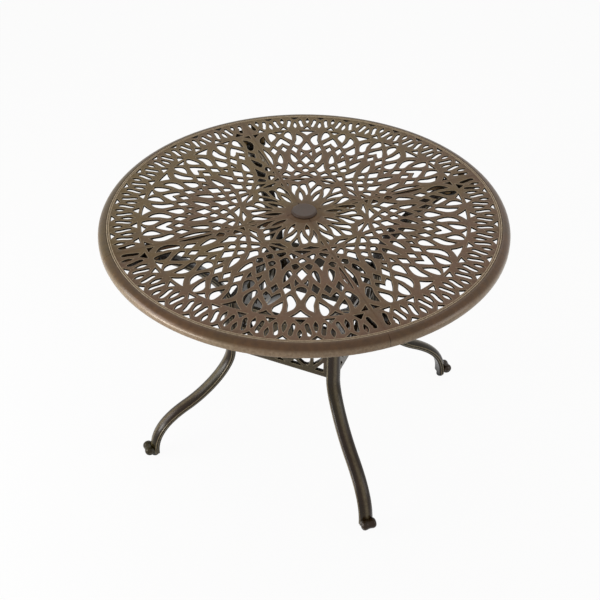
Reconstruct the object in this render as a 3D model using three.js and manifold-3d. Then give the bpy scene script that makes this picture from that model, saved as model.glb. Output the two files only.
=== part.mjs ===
// A round cast patio table with an umbrella hole: an openwork top made of four quarter castings,
// four S-curved legs, four openwork panels at the waist, glides, screws, bolts and a plug.
// Millimetres, +Z up. The origin is on the floor, under the centre of the top.
import * as THREE from 'three';
import { mergeGeometries, mergeVertices } from 'three/addons/utils/BufferGeometryUtils.js';
import Module from 'manifold-3d';

const wasm = await Module();
wasm.setup();

// Driving dimensions
const tableRadius = 533;
const tableHeight = 737; // floor to the flat top surface
const legCount = 4;
const barWidth = 15; // the flat radial bars over the legs
const clearance = 0.3; // between pieces that touch

// Top: plate, rings of openings, hub and seams
const plateRecess = 1; // the openwork lies this far below the bars
const plateThickness = 5.5;
const flangeDepth = 18; // from the top surface to the lower edge of the seam flanges
const flangeThickness = 5;
const barThickness = 9;
const seamGap = 0.4;
const umbrellaHoleRadius = 25;
const hubRadius = 47;
const hubDepth = 24;
const rosetteRadius = 160;
const arcRingWidth = 16; // solid ring between the rosette and the lattice
const borderWidth = 68;
const borderRingWidth = 11; // solid ring between the lattice and the border
const overrun = 3; // how far cutters and joined pieces reach past each other

// Rim: a flat ledge, then a lip that rolls down
const rimWidth = 33;
const ledgeThickness = 9;
const lipRollWidth = 21.5;
const lipRollHeight = 20;
const lipDepth = 29;
const lipWall = 6;

// Legs
const waistRadius = 220; // centreline of the straight middle of a leg
const legWidth = 38;
const legThickness = 22;
const legEdge = 5; // rounding of the section
const fluteDepth = 3;
const fluteHalfWidth = 7;
const waistTop = 506;
const waistBottom = 333;
const legTopInset = 81; // from the rim to the top end of the centreline
const legTopDrop = 24; // top end of the centreline below the top surface
const topReach = 102; // lengths of the curve handles, from the top down
const topFall = 12;
const shoulderRise = 66;
const waistFall = 52;
const kneeRadius = 360;
const kneeHeight = 165;
const kneeRun = 70;
const kneeDrop = 38;
const ankleRise = 67;
const footRadius = 466;
const scrollRadius = 15;
const scrollOut = 16; // from the foot's centreline to the scroll's
const scrollLength = 42;

// Plate at the top of each leg, and its screws
const footplateReachIn = 60; // from the top end of the centreline
const footplateReachOut = 38;
const footplateWidth = 74;
const footplateThickness = 8;
const footplateCorner = 10;
const plateScrewInset = 14;
const plateScrewEdge = 9.5;
const screwRadius = 3;
const screwBite = 7; // into the casting above
const headRadius = 6;
const headHeight = 4;
const bossRadius = 9; // posts under the openwork that take the screws

// Waist panels
const panelThickness = 12;
const railHeight = 15;
const barOfPanel = 12;
const panelBottom = 335;
const panelTop = 505;
const lugRadius = 8;
const lugLength = 19;
const lugFromEnd = 17;
const lugSide = 9.2; // from the leg's middle plane to the lug's axis
const panelScrewBite = 9;
const panelHeadRadius = 5;
const panelHeadHeight = 3.5;

// Bolts through the seam flanges
const seamBoltFromHub = 73;
const seamBoltFromLeg = 92;
const boltRadius = 2.5;
const boltHeadRadius = 4;
const boltHeadHeight = 3;
const boltFromEdge = 4.6;

// Glides and plug
const glideRadius = 11;
const glideHeight = 12.7;
const glideEdge = 1.5;
const glideStemRadius = 5;
const glideStemHeight = 18;
const plugCapRadius = 33.5;
const plugCapHeight = 6;
const plugRimHeight = 2;
const plugDishRadius = 13;
const plugSpigotDepth = 11;
const plugWall = 3;

// Fineness of round shapes
const arcSteps = 14; // along a quarter of the rim
const hubSides = 6; // along a quarter of the hub
const legSteps = 25;
const scrollSides = 14;
const lugSides = 8;
const bossSides = 8;
const screwSides = 6;
const plugSides = 24;
const glideSides = 10;

// Places that follow from the sizes above
const flangeBottom = tableHeight - flangeDepth;
const plateTop = tableHeight - plateRecess;
const plateBottom = plateTop - plateThickness;
const ledgeInner = tableRadius - rimWidth;
const borderInner = ledgeInner - borderWidth;
const latticeOuter = borderInner - borderRingWidth;
const latticeInner = rosetteRadius + arcRingWidth;
const legTopRadius = tableRadius - legTopInset;
const footplateInner = legTopRadius - footplateReachIn;
const footplateOuter = legTopRadius + footplateReachOut;
const seamBoltRadii = [hubRadius + seamBoltFromHub, footplateInner - seamBoltFromLeg];

// Openings of the top. Each outline is a list of [radial share, turn share]: across the width of
// its ring, and across the angle of one repeat. Paired outlines are mirrored in the repeat's axis.
const rosette = {
  inner: hubRadius,
  outer: rosetteRadius,
  repeats: 12,
  axisAtSeam: true,
  singleShares: [
    [[0.94, -0.08], [0.94, 0.08], [0.8, 0.11], [0.61, 0], [0.8, -0.11]],
    [[0.53, 0.5], [0.22, 0.61], [0.09, 0.5], [0.22, 0.39]],
    [[0.985, 0.27], [0.985, 0.73], [0.89, 0.5]],
  ],
  pairedShares: [[[0.86, 0.3], [0.7, 0.44], [0.48, 0.27], [0.31, 0.15], [0.42, 0.1], [0.65, 0.185]]],
};
const lattice = {
  inner: latticeInner,
  outer: latticeOuter,
  repeats: 16,
  axisAtSeam: false,
  singleShares: [
    [[0.865, 0], [0.715, 0.185], [0.69, 0.12], [0.748, 0], [0.69, -0.12], [0.715, -0.185]],
    [[0.68, 0], [0.61, 0.085], [0.54, 0], [0.61, -0.085]],
    [[0.3, 0], [0.168, 0.155], [0.11, 0], [0.168, -0.155]],
    [[1, 0.38], [1, 0.62], [0.905, 0.5]],
    [[0.77, 0.5], [0.62, 0.61], [0.56, 0.5], [0.62, 0.39]],
    [[0.448, 0.5], [0.345, 0.635], [0.25, 0.5], [0.345, 0.365]],
    [[0.188, 0.5], [0.15, 0.635], [0.102, 0.5], [0.15, 0.365]],
    [[0.03, 0.5], [-0.023, 0.22], [-0.023, 0.78]],
  ],
  pairedShares: [
    [[0.99, 0.17], [0.91, 0.065], [0.8, 0.2], [0.93, 0.235]],
    [[0.955, 0.305], [0.82, 0.447], [0.67, 0.335], [0.72, 0.25], [0.86, 0.3]],
    [[0.67, 0.22], [0.6, 0.323], [0.505, 0.258], [0.59, 0.152]],
    [[0.51, 0.125], [0.37, 0.105], [0.3, 0.2], [0.357, 0.293]],
    [[0.293, 0.31], [0.235, 0.435], [0.196, 0.33], [0.222, 0.213]],
    [[0.112, 0.2], [0.07, 0.36], [0.03, 0.08]],
  ],
};
const border = {
  inner: borderInner,
  outer: ledgeInner,
  repeats: 40,
  axisAtSeam: true,
  singleShares: [
    [[0.99, -0.2], [0.99, 0.2], [0.84, 0]],
    [[0.65, 0], [0.38, 0.1], [0.13, 0], [0.38, -0.1]],
    [[0.95, 0.5], [0.74, 0.595], [0.53, 0.5], [0.74, 0.405]],
    [[-0.01, 0.27], [0.24, 0.5], [-0.01, 0.73]],
  ],
  pairedShares: [[[0.8, 0.155], [0.82, 0.3], [0.32, 0.375], [0.19, 0.22]]],
};
// Two slim openings along each seam, cut into the bars too
const alongSeams = {
  inner: latticeInner,
  outer: latticeOuter,
  repeats: legCount,
  axisAtSeam: true,
  singleShares: [],
  pairedShares: [[[0.3, 0.014], [0.47, 0.0115], [0.66, 0.012], [0.47, 0.031]]],
};

// Openings of a waist panel: [share of the half width from the middle, share of the height],
// between the rails. Those that touch the middle are symmetric, the others are mirrored.
const panelMiddleShares = [
  [[0, 0.1], [0.16, 0.02], [-0.16, 0.02]],
  [[0, 0.82], [-0.2, 0.5], [0, 0.2], [0.2, 0.5]],
  [[0, 0.9], [0.2, 0.98], [-0.2, 0.98]],
];
const panelSideShares = [
  [[0.24, 0.03], [0.5, 0.03], [0.33, 0.13]],
  [[0.42, 0.2], [0.52, 0.09], [0.62, 0.09], [0.66, 0.2], [0.64, 0.46], [0.52, 0.58], [0.43, 0.46]],
  [[0.13, 0.22], [0.29, 0.32], [0.31, 0.62], [0.25, 0.44]],
  [[0.78, 0.03], [0.96, 0.03], [0.96, 0.24]],
  [[0.75, 0.14], [0.92, 0.32], [0.92, 0.5], [0.76, 0.42]],
  [[0.76, 0.54], [0.94, 0.62], [0.94, 0.9], [0.8, 0.78]],
  [[0.4, 0.7], [0.5, 0.68], [0.66, 0.58], [0.72, 0.8], [0.55, 0.92]],
  [[0.26, 0.96], [0.3, 0.72], [0.46, 0.96]],
  [[0.64, 0.97], [0.76, 0.87], [0.9, 0.97]],
];

// Materials
const bronze = new THREE.MeshStandardMaterial({ color: 0x6b5a48, roughness: 0.5, metalness: 0.35 });
const bronzeLeg = new THREE.MeshStandardMaterial({ color: 0x54463a, roughness: 0.45, metalness: 0.35 });
const zinc = new THREE.MeshStandardMaterial({ color: 0x8d8d88, roughness: 0.4, metalness: 0.8 });
const blackPlastic = new THREE.MeshStandardMaterial({ color: 0x16161a, roughness: 0.6, metalness: 0 });
const brownPlastic = new THREE.MeshStandardMaterial({ color: 0x5d5049, roughness: 0.5, metalness: 0 });

const table = new THREE.Group();
const fullTurn = 2 * Math.PI;
const quarterTurn = fullTurn / legCount;
const halfQuarter = quarterTurn / 2;

// Solids: three.js geometry to manifold-3d and back
function solid(geometry, matrix = new THREE.Matrix4()) {
  const bare = geometry.index ? geometry.toNonIndexed() : geometry.clone();
  bare.deleteAttribute('normal');
  bare.deleteAttribute('uv');
  bare.applyMatrix4(matrix);
  const merged = mergeVertices(bare);
  return new wasm.Manifold(new wasm.Mesh({
    numProp: 3,
    vertProperties: merged.attributes.position.array,
    triVerts: new Uint32Array(merged.index.array),
  }));
}

function geometryOf(manifold) {
  const mesh = manifold.getMesh();
  const geometry = new THREE.BufferGeometry();
  geometry.setAttribute('position', new THREE.BufferAttribute(mesh.vertProperties, 3));
  geometry.setIndex(new THREE.BufferAttribute(mesh.triVerts, 1));
  geometry.computeVertexNormals();
  return geometry;
}

function add(name, geometry, material, parent = table) {
  const mesh = new THREE.Mesh(geometry, material);
  mesh.name = name;
  parent.add(mesh);
  return mesh;
}

function polar(radius, angle) {
  return new THREE.Vector2(radius * Math.cos(angle), radius * Math.sin(angle));
}

// An upright prism of a flat outline
function prism(shape, bottom, top) {
  const settings = { depth: top - bottom, bevelEnabled: false, curveSegments: 1 };
  return new THREE.ExtrudeGeometry(shape, settings).translate(0, 0, bottom);
}

// An upright post
function post(radius, bottom, top, sides) {
  const geometry = new THREE.CylinderGeometry(radius, radius, top - bottom, sides);
  geometry.rotateX(quarterTurn);
  return geometry.translate(0, 0, (top + bottom) / 2);
}

// One solid of many separate upright prisms, to cut openings with
function openings(outlines, bottom, top) {
  return solid(mergeGeometries(outlines.map((outline) => prism(new THREE.Shape(outline), bottom, top))));
}

// A hole whose sides clear a round shank however both are turned
function bore(shankRadius, bottom, top, sides) {
  return post((shankRadius + clearance) / Math.cos(Math.PI / sides), bottom, top, sides);
}

// A box given by its lowest and highest corners
function box(low, high) {
  const size = high.map((value, axis) => value - low[axis]);
  const middle = high.map((value, axis) => (value + low[axis]) / 2);
  return new THREE.BoxGeometry(...size).translate(...middle);
}

// Where a radius and a height lie in the plane of a leg that points along +X
function inLegPlane(radius, height) {
  return new THREE.Vector3(radius, 0, height);
}

// Top: one quarter, centred on +X, its seams at minus and plus half a quarter turn

function ringOutlines(ring) {
  const step = fullTurn / ring.repeats;
  const width = ring.outer - ring.inner;
  const mirrored = ring.pairedShares.map((outline) => outline.map(([across, turn]) => [across, -turn]));
  const unit = [...ring.singleShares, ...ring.pairedShares, ...mirrored];
  const outlines = [];
  for (let repeat = 0; repeat < ring.repeats; repeat += 1) {
    for (const outline of unit) {
      const axis = ring.axisAtSeam ? repeat * step : (repeat + 1 / 2) * step;
      outlines.push(outline.map(([across, turn]) => (
        polar(ring.inner + across * width, axis + turn * step - halfQuarter)
      )));
    }
  }
  return outlines;
}

// An opening is cut where its middle lies inside the quarter and clear of the flanges. The bars
// cover the rest of it.
function insideQuarter(outline) {
  const middle = new THREE.Vector2();
  for (const point of outline) middle.addScaledVector(point, 1 / outline.length);
  const toLowSeam = middle.y * Math.cos(halfQuarter) + middle.x * Math.sin(halfQuarter);
  const toHighSeam = middle.x * Math.sin(halfQuarter) - middle.y * Math.cos(halfQuarter);
  return Math.min(toLowSeam, toHighSeam) > flangeThickness;
}

function sector(inner, outer, sides) {
  const shape = new THREE.Shape();
  const turn = (index) => (index / sides) * quarterTurn - halfQuarter;
  for (let index = 0; index <= sides; index += 1) {
    const point = polar(outer, turn(index));
    if (index === 0) shape.moveTo(point.x, point.y);
    else shape.lineTo(point.x, point.y);
  }
  for (let index = sides; index >= 0; index -= 1) {
    const point = polar(inner, turn(index));
    shape.lineTo(point.x, point.y);
  }
  return shape;
}

function openworkPlate() {
  const plate = prism(sector(hubRadius - overrun, ledgeInner + overrun, arcSteps), plateBottom, plateTop);
  const outlines = [rosette, lattice, border].flatMap(ringOutlines).filter(insideQuarter);
  return solid(plate).subtract(openings(outlines, plateBottom - overrun, plateTop + overrun));
}

// The rim's section, as a closed profile of [radius, height]
function rimProfile() {
  const lipMiddle = tableRadius - lipRollWidth;
  const lipTop = tableHeight - lipRollHeight;
  const outerLip = [];
  for (const share of [0, 1 / 3, 2 / 3, 1]) {
    const turn = (share * fullTurn) / 4;
    outerLip.push([lipMiddle + lipRollWidth * Math.sin(turn), lipTop + lipRollHeight * Math.cos(turn)]);
  }
  const lipBottom = tableHeight - lipDepth;
  return [
    [ledgeInner, tableHeight - ledgeThickness],
    [ledgeInner, tableHeight],
    ...outerLip,
    [tableRadius - lipWall / 3, lipBottom + lipWall / 2],
    [tableRadius - lipWall, lipBottom],
    [tableRadius - lipWall, lipTop],
    [lipMiddle, tableHeight - ledgeThickness],
  ].map(([radius, height]) => new THREE.Vector2(radius, height));
}

function rim() {
  const profile = rimProfile();
  profile.push(profile[0].clone());
  profile.reverse();
  const geometry = new THREE.LatheGeometry(profile, arcSteps * legCount, halfQuarter, fullTurn);
  return geometry.rotateX(quarterTurn);
}

// Half of a radial bar with its seam flange below, along the seam at the given side
function seamBar(side) {
  const turn = new THREE.Matrix4().makeRotationZ(side * halfQuarter);
  const half = (width, from, to, bottom, top) => {
    const middle = (-side * (width - overrun)) / 2;
    const reach = (width + overrun) / 2;
    return solid(box([from, middle - reach, bottom], [to, middle + reach, top]), turn);
  };
  const inner = hubRadius - overrun;
  const outer = ledgeInner + overrun;
  const strip = half(barWidth / 2, inner, outer, tableHeight - barThickness, tableHeight);
  const flange = half(flangeThickness, inner, outer, flangeBottom, plateTop);
  return strip.add(flange);
}

// Posts that take the screws of the leg at the given side
function screwBosses(side) {
  const turn = new THREE.Matrix4().makeRotationZ(side * halfQuarter);
  const posts = quarterScrewPlaces(side).map(([radius, offset]) => (
    post(bossRadius, flangeBottom, plateTop - plateRecess, bossSides).translate(radius, offset, 0)
  ));
  return solid(mergeGeometries(posts), turn);
}

function topQuarter() {
  let quarter = openworkPlate().add(solid(rim()));
  const hub = prism(sector(umbrellaHoleRadius, hubRadius, hubSides), tableHeight - hubDepth, tableHeight);
  quarter = quarter.add(solid(hub)).add(seamBar(1)).add(seamBar(-1));
  const slots = ringOutlines(alongSeams).filter(insideQuarter);
  quarter = quarter.subtract(openings(slots, tableHeight - barThickness - overrun, tableHeight + overrun));
  for (const side of [-1, 1]) quarter = quarter.add(screwBosses(side));
  const wedge = new THREE.Shape([
    new THREE.Vector2(seamGap / 2 / Math.sin(halfQuarter), 0),
    new THREE.Vector2(2 * tableRadius, -2 * tableRadius + seamGap / 2 / Math.sin(halfQuarter)),
    new THREE.Vector2(2 * tableRadius, 2 * tableRadius - seamGap / 2 / Math.sin(halfQuarter)),
  ]);
  quarter = quarter.intersect(solid(prism(wedge, tableHeight - tableRadius, tableHeight + tableRadius)));
  for (const side of [-1, 1]) {
    const turn = new THREE.Matrix4().makeRotationZ(side * halfQuarter);
    for (const [radius, offset] of quarterScrewPlaces(side)) {
      const holeTop = flangeBottom + screwBite + clearance;
      const hole = bore(screwRadius, flangeBottom - overrun, holeTop, screwSides);
      quarter = quarter.subtract(solid(hole.translate(radius, offset, 0), turn));
    }
    for (const radius of seamBoltRadii) {
      const hole = bore(boltRadius, -flangeThickness - overrun, flangeThickness + overrun, screwSides);
      hole.rotateX(quarterTurn).translate(radius, 0, flangeBottom + boltFromEdge);
      quarter = quarter.subtract(solid(hole, turn));
    }
  }
  return quarter;
}

// Legs: [radius, distance to the leg's middle plane] of the screws through its top plate
function plateScrewPlaces() {
  const edge = footplateWidth / 2 - plateScrewEdge;
  return [footplateInner + plateScrewInset, footplateOuter - plateScrewInset]
    .flatMap((radius) => [[radius, edge], [radius, -edge]]);
}

// The two of them that reach into the quarter at the other side of the seam
function quarterScrewPlaces(side) {
  return plateScrewPlaces().filter(([, offset]) => Math.sign(offset) === -side);
}

function legCentreline() {
  const topHeight = tableHeight - legTopDrop;
  const path = new THREE.CurvePath();
  path.add(new THREE.CubicBezierCurve3(
    inLegPlane(legTopRadius, topHeight),
    inLegPlane(legTopRadius - topReach, topHeight - topFall),
    inLegPlane(waistRadius, waistTop + shoulderRise),
    inLegPlane(waistRadius, waistTop),
  ));
  path.add(new THREE.LineCurve3(inLegPlane(waistRadius, waistTop), inLegPlane(waistRadius, waistBottom)));
  path.add(new THREE.CubicBezierCurve3(
    inLegPlane(waistRadius, waistBottom),
    inLegPlane(waistRadius, waistBottom - waistFall),
    inLegPlane(kneeRadius - kneeRun, kneeHeight + kneeDrop),
    inLegPlane(kneeRadius, kneeHeight),
  ));
  path.add(new THREE.CubicBezierCurve3(
    inLegPlane(kneeRadius, kneeHeight),
    inLegPlane(kneeRadius + kneeRun, kneeHeight - kneeDrop),
    inLegPlane(footRadius, glideHeight + ankleRise),
    inLegPlane(footRadius, glideHeight + clearance),
  ));
  return path;
}

// The leg's section: flat towards the middle of the table, fluted on the outer face
function legSection() {
  const halfWidth = legWidth / 2;
  const halfThickness = legThickness / 2;
  return new THREE.Shape([
    new THREE.Vector2(-halfWidth, halfThickness),
    new THREE.Vector2(-halfWidth, -halfThickness + legEdge),
    new THREE.Vector2(-halfWidth + legEdge, -halfThickness),
    new THREE.Vector2(-fluteHalfWidth, -halfThickness),
    new THREE.Vector2(0, -halfThickness + fluteDepth),
    new THREE.Vector2(fluteHalfWidth, -halfThickness),
    new THREE.Vector2(halfWidth - legEdge, -halfThickness),
    new THREE.Vector2(halfWidth, -halfThickness + legEdge),
    new THREE.Vector2(halfWidth, halfThickness),
  ]);
}

function roundedPlate(low, high, corner) {
  const [left, front] = low;
  const [right, back] = high;
  return new THREE.Shape([
    new THREE.Vector2(left + corner, front), new THREE.Vector2(right - corner, front),
    new THREE.Vector2(right, front + corner), new THREE.Vector2(right, back - corner),
    new THREE.Vector2(right - corner, back), new THREE.Vector2(left + corner, back),
    new THREE.Vector2(left, back - corner), new THREE.Vector2(left, front + corner),
  ]);
}

function leg() {
  const shank = new THREE.ExtrudeGeometry(legSection(), {
    steps: legSteps, extrudePath: legCentreline(), bevelEnabled: false, curveSegments: 1,
  });
  const plateTopFace = flangeBottom - clearance;
  const plateShape = roundedPlate(
    [footplateInner, -footplateWidth / 2], [footplateOuter, footplateWidth / 2], footplateCorner,
  );
  let body = solid(shank).add(solid(prism(plateShape, plateTopFace - footplateThickness, plateTopFace)));
  const above = box(
    [waistRadius, -footplateWidth, plateTopFace], [tableRadius, footplateWidth, plateTopFace + tableRadius],
  );
  body = body.subtract(solid(above));

  const scrollHeight = glideHeight + clearance + scrollRadius;
  const scroll = post(scrollRadius, -scrollLength / 2, scrollLength / 2, scrollSides);
  body = body.add(solid(scroll.rotateX(quarterTurn).translate(footRadius + scrollOut, 0, scrollHeight)));

  const socketTop = glideHeight + glideStemHeight + clearance;
  const socket = bore(glideStemRadius, glideHeight - overrun, socketTop, glideSides);
  body = body.subtract(solid(socket.translate(footRadius, 0, 0)));
  for (const [radius, offset] of plateScrewPlaces()) {
    const holeBottom = plateTopFace - footplateThickness - overrun;
    const hole = bore(screwRadius, holeBottom, plateTopFace + overrun, screwSides);
    body = body.subtract(solid(hole.translate(radius, offset, 0)));
  }
  for (const height of panelScrewHeights()) {
    for (const offset of [-lugSide, lugSide]) {
      body = body.subtract(solid(alongLeg(
        bore(screwRadius, -overrun, panelScrewBite + clearance, screwSides),
        waistRadius - legThickness / 2, offset, height,
      )));
    }
  }
  return body;
}

// Turns an upright piece to lie along a leg's radius, pointing outwards from the given place
function alongLeg(geometry, radius, offset, height) {
  return geometry.rotateY(quarterTurn).translate(radius, offset, height);
}

function panelScrewHeights() {
  return [panelBottom + lugFromEnd, panelTop - lugFromEnd];
}

// Waist panel between the legs at minus and plus half a quarter turn, its outline in Y and Z
const seatPlane = waistRadius - legThickness / 2 - clearance;
const panelMiddle = seatPlane * Math.cos(halfQuarter) + lugSide * Math.sin(halfQuarter);
const panelHalfWidth = seatPlane * Math.sin(halfQuarter) - lugSide * Math.cos(halfQuarter);

function waistPanel() {
  const openHalf = panelHalfWidth - barOfPanel;
  const openBottom = panelBottom + railHeight;
  const openHeight = panelTop - railHeight - openBottom;
  const place = ([across, up]) => new THREE.Vector2(across * openHalf, openBottom + up * openHeight);
  const mirroredShares = panelSideShares.map((outline) => outline.map(([across, up]) => [-across, up]));
  const outlines = [...panelMiddleShares, ...panelSideShares, ...mirroredShares]
    .map((outline) => outline.map(place));
  const upright = new THREE.Matrix4()
    .makeRotationFromEuler(new THREE.Euler(quarterTurn, 0, quarterTurn, 'ZYX'));
  const reach = panelHalfWidth + panelThickness;
  const inside = panelMiddle - panelThickness / 2;
  const outside = panelMiddle + panelThickness / 2;
  let panel = solid(box([inside, -reach, panelBottom], [outside, reach, panelTop]));
  panel = panel.subtract(openings(outlines, 0, 2 * panelMiddle).transform(upright.elements));

  for (const side of [-1, 1]) {
    const turn = new THREE.Matrix4().makeRotationZ(side * halfQuarter);
    const lugs = panelScrewHeights().map((height) => (
      alongLeg(post(lugRadius, -lugLength, overrun, lugSides), seatPlane, -side * lugSide, height)
    ));
    const holes = panelScrewHeights().map((height) => alongLeg(
      bore(screwRadius, -lugLength - overrun, overrun, screwSides), seatPlane, -side * lugSide, height,
    ));
    const below = panelBottom - overrun;
    const above = panelTop + overrun;
    const legHalf = box([seatPlane, -reach, below], [tableRadius, reach, above]);
    const mitre = (side * (reach - seamGap)) / 2;
    const nextPanel = box([0, mitre - reach / 2, below], [tableRadius, mitre + reach / 2, above]);
    panel = panel.add(solid(mergeGeometries(lugs), turn));
    panel = panel.subtract(solid(legHalf, turn)).subtract(solid(nextPanel, turn));
    panel = panel.subtract(solid(mergeGeometries(holes), turn));
  }
  return panel;
}

// Screws and bolts: a head with a shank that points up
function screw(shankRadius, shankLength, head, headLength) {
  const cap = post(head, -headLength, 0, screwSides);
  const shank = post(shankRadius, -headLength / 2, shankLength, screwSides);
  return solid(cap).add(solid(shank));
}

function glide() {
  const profile = [
    [0, 0], [glideRadius - glideEdge, 0], [glideRadius, glideEdge], [glideRadius, glideHeight],
    [glideStemRadius, glideHeight], [glideStemRadius, glideHeight + glideStemHeight],
    [0, glideHeight + glideStemHeight],
  ].map(([radius, height]) => new THREE.Vector2(radius, height));
  return new THREE.LatheGeometry(profile, glideSides).rotateX(quarterTurn);
}

function umbrellaPlug() {
  const seat = tableHeight + clearance;
  const spigot = umbrellaHoleRadius * Math.cos(halfQuarter / hubSides) - clearance;
  const profile = [
    [0, seat], [spigot - plugWall, seat], [spigot - plugWall, seat - plugSpigotDepth],
    [spigot, seat - plugSpigotDepth], [spigot, seat], [plugCapRadius, seat],
    [plugCapRadius, seat + plugRimHeight], [plugCapRadius - plugWall, seat + plugCapHeight],
    [plugDishRadius, seat + plugCapHeight], [plugDishRadius - plugWall, seat + plugCapHeight - plugRimHeight],
    [0, seat + plugCapHeight - plugRimHeight],
  ].map(([radius, height]) => new THREE.Vector2(radius, height));
  return new THREE.LatheGeometry(profile, plugSides).rotateX(quarterTurn);
}

// Assembly
const quarterGeometry = geometryOf(topQuarter());
const legGeometry = geometryOf(leg());
const panelGeometry = geometryOf(waistPanel());
const plateScrewGeometry = geometryOf(screw(
  screwRadius, footplateThickness + clearance + screwBite, headRadius, headHeight,
));
const panelScrewGeometry = geometryOf(screw(
  screwRadius, lugLength + clearance + panelScrewBite, panelHeadRadius, panelHeadHeight,
));
const seamBoltGeometry = geometryOf(screw(
  boltRadius, 2 * flangeThickness + 2 * clearance + boltHeadHeight, boltHeadRadius, boltHeadHeight,
));

for (let index = 0; index < legCount; index += 1) {
  const number = index + 1;
  const quarterSide = new THREE.Group();
  quarterSide.rotation.z = index * quarterTurn;
  table.add(quarterSide);
  add(`top_quarter_${number}`, quarterGeometry, bronze, quarterSide);
  add(`waist_panel_${number}`, panelGeometry, bronzeLeg, quarterSide);

  const legSide = new THREE.Group();
  legSide.rotation.z = index * quarterTurn + halfQuarter;
  table.add(legSide);
  add(`leg_${number}`, legGeometry, bronzeLeg, legSide);
  add(`glide_${number}`, glide(), blackPlastic, legSide).position.x = footRadius;

  plateScrewPlaces().forEach(([radius, offset], place) => {
    const mesh = add(`leg_screw_${number}${'abcd'[place]}`, plateScrewGeometry, zinc, legSide);
    mesh.position.set(radius, offset, flangeBottom - clearance - footplateThickness - clearance);
  });
  let letter = 0;
  for (const height of panelScrewHeights()) {
    for (const offset of [-lugSide, lugSide]) {
      const mesh = add(`panel_screw_${number}${'abcd'[letter]}`, panelScrewGeometry, zinc, legSide);
      mesh.rotation.y = quarterTurn;
      mesh.position.set(seatPlane - lugLength - clearance, offset, height);
      letter += 1;
    }
  }
  // The heads of the seam bolts are all on the first and the third quarter
  const headSide = index % 2 === 0 ? -1 : 1;
  seamBoltRadii.forEach((radius, place) => {
    const mesh = add(`seam_bolt_${number}${'ab'[place]}`, seamBoltGeometry, zinc, legSide);
    mesh.rotation.x = headSide * quarterTurn;
    mesh.position.set(radius, headSide * (flangeThickness + clearance), flangeBottom + boltFromEdge);
  });
}
add('umbrella_plug', umbrellaPlug(), brownPlastic);

export default table;
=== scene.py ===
import math

import bmesh
import bpy
from mathutils import Matrix, Vector, geometry


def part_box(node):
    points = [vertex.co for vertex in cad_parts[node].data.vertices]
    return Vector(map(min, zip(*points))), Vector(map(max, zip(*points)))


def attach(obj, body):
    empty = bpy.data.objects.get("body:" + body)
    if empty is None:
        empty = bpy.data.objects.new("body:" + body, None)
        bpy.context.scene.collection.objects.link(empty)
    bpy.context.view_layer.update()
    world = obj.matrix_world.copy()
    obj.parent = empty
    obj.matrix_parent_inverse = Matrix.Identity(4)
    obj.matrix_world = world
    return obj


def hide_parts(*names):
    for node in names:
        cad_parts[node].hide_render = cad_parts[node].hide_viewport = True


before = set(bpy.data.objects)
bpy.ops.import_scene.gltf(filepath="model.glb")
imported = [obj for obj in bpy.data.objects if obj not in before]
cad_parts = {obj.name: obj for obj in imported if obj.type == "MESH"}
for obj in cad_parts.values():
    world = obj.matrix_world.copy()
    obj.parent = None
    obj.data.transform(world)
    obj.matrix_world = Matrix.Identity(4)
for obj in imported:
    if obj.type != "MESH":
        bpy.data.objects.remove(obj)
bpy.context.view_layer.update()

scene = bpy.context.scene
mm = 0.001

# The view. The table stands on a white floor that fills the picture, and a person's camera looks
# down at it from in front. A big and a low soft lamp stand at the left, a weaker one at the right,
# and a wide one behind and above, so that the flat tracery shines softly towards the camera.
camera_turn = math.radians(23.55)  # round from the table's own -Y side
camera_reach = 2.19825
camera_height = 2.23653
look_height = 0.44102
look_aside = -0.01069
camera_lens = 61.15
sensor_width = 36


def from_the_front(aside, away, height):
    """A place given as the camera's owner would: to the right, away from them, and up."""
    return Matrix.Rotation(camera_turn, 4, "Z") @ Vector((aside, away, height))


def in_scene(name, data):
    """A new object that is in the scene, of a mesh, a lamp or a camera."""
    thing = bpy.data.objects.new(name, data)
    scene.collection.objects.link(thing)
    return thing


def aimed(thing, place, target):
    """Stands a lamp or the camera at a place and turns it to look at the target."""
    thing.location = place
    thing.rotation_euler = (target - place).to_track_quat("-Z", "Y").to_euler()


def soft_lamp(name, place, target_height, width, height, watts):
    """A lamp that looks towards the table's axis and isn't seen itself."""
    lamp = bpy.data.lights.new(name, "AREA")
    lamp.shape = "RECTANGLE"
    lamp.size = width
    lamp.size_y = height
    lamp.energy = watts
    holder = in_scene(name, lamp)
    aimed(holder, from_the_front(*place), from_the_front(0, 0, target_height))
    holder.visible_camera = False


camera = in_scene("camera", bpy.data.cameras.new("camera"))
camera.data.lens = camera_lens
camera.data.sensor_width = sensor_width
aimed(camera, from_the_front(0, -camera_reach, camera_height), from_the_front(look_aside, 0, look_height))
scene.camera = camera
scene.view_settings.view_transform = "Standard"

soft_lamp("left_lamp", (-2.3, -0.55, 0.95), 0.6, 1.3, 1.3, 26)
soft_lamp("low_left_lamp", (-2.1, -1.3, 0.35), 0.55, 1.3, 0.5, 24)
soft_lamp("right_lamp", (2.2, -0.9, 0.9), 0.6, 1.0, 1.2, 9)
soft_lamp("back_lamp", (0.2, 1.9, 2.6), 0.7, 2.6, 1.8, 10)


class Nodes:
    """The nodes of one material or geometry tree, placed and linked in one go."""

    def __init__(self, tree):
        self.tree = tree
        tree.nodes.clear()

    def add(self, kind, links=(), values=(), **settings):
        node = self.tree.nodes.new(kind)
        for key, value in settings.items():
            setattr(node, key, value)
        for key, value in dict(values).items():
            node.inputs[key].default_value = value
        for key, source in dict(links).items():
            self.tree.links.new(source, node.inputs[key])
        return node


def srgb(red, green, blue):
    """A colour as it is read off a screen, 0 to 255, in the linear light that shaders use."""
    shares = [value / 255 for value in (red, green, blue)]
    linear = [s / 12.92 if s <= 0.04045 else ((s + 0.055) / 1.055) ** 2.4 for s in shares]
    return (*linear, 1)


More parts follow.
